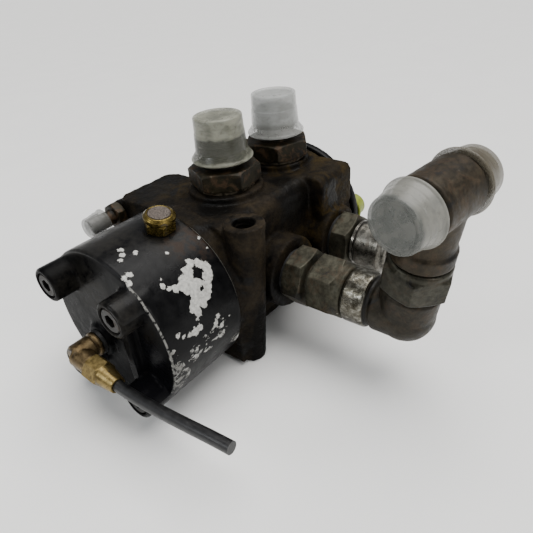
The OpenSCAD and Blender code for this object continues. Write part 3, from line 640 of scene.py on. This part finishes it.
def remade(name, node, material, voxel, relax, roughness=0.0, grain=4.0, shape=None):
    """A copy of a CAD node with its edges softened by a fine remesh, then its surface made uneven."""
    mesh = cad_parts[node].data.copy()
    obj = bpy.data.objects.new(name, mesh)
    bpy.context.scene.collection.objects.link(obj)
    weld = obj.modifiers.new("weld", "WELD")
    weld.merge_threshold = 2e-6
    remesh = obj.modifiers.new("remesh", "REMESH")
    remesh.mode = "VOXEL"
    remesh.voxel_size = voxel * MM
    remesh.use_smooth_shade = True
    if relax:
        smooth = obj.modifiers.new("smooth", "SMOOTH")
        smooth.factor = 0.5
        smooth.iterations = relax
    bpy.context.view_layer.update()
    done = bpy.data.meshes.new_from_object(obj.evaluated_get(bpy.context.evaluated_depsgraph_get()))
    obj.modifiers.clear()
    obj.data = done
    count = len(done.vertices)
    points, normals = np.zeros(count * 3), np.zeros(count * 3)
    done.vertices.foreach_get("co", points)
    done.vertices.foreach_get("normal", normals)
    points, normals = points.reshape(-1, 3) / MM, normals.reshape(-1, 3)
    if roughness:
        for i in range(count):
            v = Vector(points[i])
            lift = noise.noise(v / grain) + 0.5 * noise.noise(v / (grain * 0.4))
            points[i] += normals[i] * (roughness * lift)
    if shape:
        points = shape(points)
    low, high = (np.array(c) / MM for c in CAD_BOX)
    points = np.clip(points, low, high)
    done.vertices.foreach_set("co", (points * MM).ravel())
    done.update()
    done.materials.clear()
    done.materials.append(material)
    done.polygons.foreach_set("material_index", [0] * len(done.polygons))
    done.polygons.foreach_set("use_smooth", [True] * len(done.polygons))
    obj.name = name
    return obj


def threaded(at, radius, low, high, pitch, depth):
    """A shape that cuts a thread into a cylinder about the Z axis of at."""
    inverse = np.array(at.inverted())

    def cut(points):
        local = points @ inverse[:3, :3].T + inverse[:3, 3]
        r = np.hypot(local[:, 0], local[:, 1])
        z = local[:, 2]
        turn = np.arctan2(local[:, 1], local[:, 0]) / (2 * math.pi)
        wave = np.abs(2 * ((z / pitch - turn) % 1.0) - 1)
        fade = np.clip((z - low) / pitch, 0, 1) * np.clip((high - z) / pitch, 0, 1)
        on = (np.abs(r - radius) < 0.4) & (z > low) & (z < high)
        scale = np.where(on, 1 - depth * wave * fade / np.maximum(r, 1e-6), 1.0)
        local[:, :2] *= scale[:, None]
        forward = np.array(at)
        return local @ forward[:3, :3].T + forward[:3, 3]
    return cut


def helix_ridge(name, at, radius, length, pitch, height, material, inward):
    """A thread's ridge, wound about the Z axis of at; inward makes the thread of a tapped hole."""
    steps = 40
    vertices, faces = [], []
    count = int(length / pitch * steps)
    tip = radius - height if inward else radius + height
    for i in range(count + 1):
        angle, z = 2 * math.pi * i / steps, pitch * i / steps
        fade = min(1.0, i / 10, (count - i) / 10)
        peak = radius + (tip - radius) * fade
        for r, dz in ((radius + (0.3 if inward else -0.3), -0.42 * pitch), (peak, 0.0),
                      (radius + (0.3 if inward else -0.3), 0.42 * pitch)):
            vertices.append((r * math.cos(angle), r * math.sin(angle), z + dz))
    for i in range(count):
        a, b = i * 3, (i + 1) * 3
        faces += [(a, b, b + 1, a + 1), (a + 1, b + 1, b + 2, a + 2)]
    return make(name, vertices, faces, material, at)


# ---- floor ----

FLOOR_REACH = 60000
FLOOR_Z = -0.3
floor = make("floor", [(FLOOR_REACH * a, FLOOR_REACH * b, FLOOR_Z)
                       for a, b in ((-1, -1), (1, -1), (1, 1), (-1, 1))],
             [(0, 1, 2, 3)], FLOOR, smooth=False)

# ---- nylon tube: part.scad's route ----

TUBE_ROUTE = [(121.5, 12, 31.6), (121.5, 20, 30.6), (121.4, 29, 30.3), (121.2, 39, 30.6), (120.8, 49, 31.2),
              (120.3, 59, 32), (119.7, 69, 32.8), (119, 79, 33.5), (118.3, 90, 34)]


def finer(points):
    """The route with a point added halfway along each step, on a smooth curve through its neighbours."""
    ends = [points[0]] + points + [points[-1]]
    out = []
    for a, b, c, d in zip(ends, ends[1:], ends[2:], ends[3:]):
        out += [b, tuple((9 * (v + w) - u - x) / 16 for u, v, w, x in zip(a, b, c, d))]
    return out + [points[-1]]


def air_tube():
    data = bpy.data.curves.new("air_tube", "CURVE")
    data.dimensions = "3D"
    data.bevel_depth = 3 * MM
    data.bevel_resolution = 8
    data.resolution_u = 6
    data.use_fill_caps = True
    spline = data.splines.new("BEZIER")
    route = finer(TUBE_ROUTE)
    spline.bezier_points.add(len(route) - 1)
    for point, spot in zip(spline.bezier_points, route):
        point.co = Vector(spot) * MM
        point.handle_left_type = point.handle_right_type = "AUTO"
    obj = bpy.data.objects.new("air_tube", data)
    bpy.context.scene.collection.objects.link(obj)
    data.materials.append(NYLON)
    return obj


tube = stand_in(air_tube(), "valve", ["nylon_tube"])

# ---- castings ----

stand_in(remade("casting", "valve_body", CAST, 0.85, 5, 0.30, 5.0), "valve", ["valve_body"])
stand_in(remade("air_cylinder", "actuator_housing", PAINT, 0.75, 3, 0.06, 6.0), "valve", ["actuator_housing"])
stand_in(remade("rear_disc", "rear_cover", PAINT, 0.9, 3, 0.06, 6.0), "valve", ["rear_cover"])
for side, label in ((1, "near"), (-1, "far")):
    foot = place(EAR_X * side, EAR_Y * side, 62)
    thread = helix_ridge(f"ear_thread_{label}", foot, EAR_HOLE_R, 24, 1.75, 0.75, CAST, True)
    stand_in(thread, "valve", [])

# ---- unions, nuts, elbow and tee ----

FRONT_TOP, REAR_TOP = place(FRONT_X, 0, TOP_SEAT_Z), place(REAR_X, 0, TOP_SEAT_Z)
for name, node, at, finish in (("front_union", "front_adapter", FRONT_TOP, OLIVE),
                               ("rear_union", "rear_adapter", REAR_TOP, OLIVE_BAND)):
    stand_in(remade(name, node, finish, 0.42, 3, 0.05, 3.0, threaded(at, 11.7, 12.5, 29, 1.8, 1.0)),
             "valve", [node])
for name, node, x in (("line_a_union", "line_a_adapter", FRONT_X), ("line_b_union", "line_b_adapter", REAR_X)):
    thread = threaded(place(x, 46.6, LINE_Z, (-90, 0, 0)), 10.9, 13.5, 26, 1.5, 0.9)
    stand_in(remade(name, node, GREY, 0.42, 2, 0.05, 3.0, thread), "valve", [node])
stand_in(remade("swivel_nut_a", "line_a_nut", GREY, 0.42, 4, 0.05, 3.0), "valve", ["line_a_nut"])
stand_in(remade("sleeve_b", "line_b_nut", BRIGHT, 0.42, 2, 0.05, 3.0), "valve", ["line_b_nut"])
stand_in(remade("elbow_forging", "line_a_elbow", FORGED, 0.5, 4, 0.10, 4.0), "elbow", ["line_a_elbow"])
stand_in(remade("swivel_nut_tee", "tee_nut", NUT_T, 0.4, 4, 0.05, 3.0), "elbow", ["tee_nut"])
stand_in(remade("tee_forging", "tee_body", TEE, 0.5, 3, 0.10, 4.0), "tee", ["tee_body"])

# ---- caps ----

def cap(name, node, body_name, at, material, mouth, rim, top, height, dish=0.5):
    """A push-on cap with a beaded skirt, a stepped wall and a slightly dished top."""
    wall, lid = 1.0, 1.4
    outer = [(mouth + 0.05, 0), (rim - 0.5, 0), (rim, 0.5), (rim, 1.3), (rim - 0.7, 2.0),
             (mouth + wall + 0.35, 4.6), (mouth + wall, 5.2)]
    knee = height * 0.62
    blend_r = mouth + wall + (top - mouth - wall) * (knee - 5) / (height - 5.8)
    outer += [(blend_r, knee), (blend_r - 0.25, knee + 0.5), (top, height - 0.9), (top - 0.3, height - 0.25),
              (top - 1.0, height), (top - 2.0, height - 0.05), (top - 2.6, height - dish), (0, height - dish)]
    inner = [(0, height - lid - dish * 0.5), (top - wall, height - lid - 0.1),
             (top - wall + 0.1, height - lid - 1.0), (blend_r - wall, knee), (mouth + 0.1, 5.0),
             (mouth + 0.05, 1.0)]
    vertices, faces = lathe(rounded(outer + inner, 0.35, 3), 112)
    return stand_in(make(name, vertices, faces, material, at), body_name, [node])


BRANCH = place(FRONT_X, 113.5, LINE_Z, (-10, 5, 0))
RUN = BRANCH @ place(0, 0, 69) @ place(0, 0, 0, (0, 90, -10.5))
run_axis = tuple((RUN.to_3x3() @ Vector((0, 0, 1))).normalized())
run_zero = Vector(run_axis).dot(RUN.translation)
# Each cap's last two numbers bound its band of painted shade; the tint before them colours both its dirt and
# that shade
CAP_F = cap_plastic("front_cap_plastic", (0.31, 0.31, 0.245), (0.060, 0.061, 0.045), 0.65, 0.70,
                    (0, 0, 1), 107, 116)
CAP_R = cap_plastic("rear_cap_plastic", (0.46, 0.47, 0.455), (0.20, 0.20, 0.18), 0.35, 0.52,
                    (0, 0, 1), 106, 110)
CAP_N = cap_plastic("near_cap_plastic", (0.27, 0.265, 0.235), (0.115, 0.12, 0.11), 0.55, 0.66,
                    run_axis, run_zero + 29.6, run_zero + 36)
CAP_Y = cap_plastic("far_cap_plastic", (0.15, 0.135, 0.100), (0.085, 0.070, 0.045), 0.40, 0.66,
                    run_axis, run_zero - 20, run_zero - 16)
CAP_T = cap_plastic("test_cap_plastic", (0.20, 0.20, 0.19), (0.12, 0.115, 0.10), 0.30, 0.46,
                    (1, 0, 0), 66, 68)
cap("front_port_cap", "front_cap", "front_cap", place(FRONT_X, 0, CAP_SEAT_Z), CAP_F,
    13.5, 17.3, 13.4, 24)
cap("rear_port_cap", "rear_cap", "rear_cap", place(REAR_X, 0, CAP_SEAT_Z), CAP_R,
    13.5, 17.3, 13.4, 24)
cap("near_tee_cap", "tee_cap_near", "tee_cap_near", RUN @ place(0, 0, 16.4), CAP_N,
    12.7, 15.4, 12.65, 13.6, 0.3)
cap("far_tee_cap", "tee_cap_far", "tee_cap_far", RUN @ place(0, 0, -14.6, (0, 180, 0)), CAP_Y,
    12.7, 15.4, 12.65, 13.6, 0.3)
cap("test_port_cap", "test_cap", "test_cap", place(64.5, -50, 75, (0, 90, 0)), CAP_T,
    5.6, 7.5, 6.0, 12, 0.3)

# ---- brass and small fittings ----

stand_in(remade("breather_cup", "breather_body", BREATHER, 0.2, 4), "valve", ["breather_body"])
stand_in(remade("breather_disc", "breather_filter", SINTERED, 0.2, 1, 0.06, 0.5), "valve",
         ["breather_filter"])
stand_in(remade("brass_elbow", "elbow_fitting", ELBOW_BRASS, 0.3, 3, 0.05, 2.0), "valve", ["elbow_fitting"])
stand_in(remade("brass_nut", "tube_nut", BRASS, 0.2, 1), "valve", ["tube_nut"])
stand_in(remade("test_union", "test_fitting", OLIVE, 0.3, 1, 0.03, 2.0), "valve", ["test_fitting"])

# ---- finishes of the CAD nodes that stay ----

FINISHES = {
    "actuator_screws": OXIDE, "rear_cover_screws": OXIDE, "actuator_gasket": GASKET,
    "rear_cover_seal": RUBBER, "rear_plug": YELLOW, "spool": GROUND, "spool_seals": RUBBER,
    "air_piston": ALUMINIUM, "piston_seal": RUBBER, "piston_guide_ring": GUIDE, "piston_nut": GREY,
    "return_spring": SPRING, "spring_seat": SPRING, "elbow_seal": RUBBER, "tube_olive": BRASS,
    "front_adapter_seal": OLIVE, "rear_adapter_seal": OLIVE, "line_a_seal": RUBBER,
    "line_b_seal": RUBBER, "line_b_ring": BRIGHT, "line_b_blank": BRIGHT, "relief_plug": OLIVE,
    "relief_seal": RUBBER, "relief_poppet": GROUND, "relief_spring": SPRING, "relief_adjuster": GREY,
    "relief_locknut": GREY, "check_plug": OLIVE, "check_seal": RUBBER, "check_poppet": GROUND,
    "check_spring": SPRING,
}
for node, material in FINISHES.items():
    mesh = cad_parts[node].data
    mesh.materials.clear()
    mesh.materials.append(material)
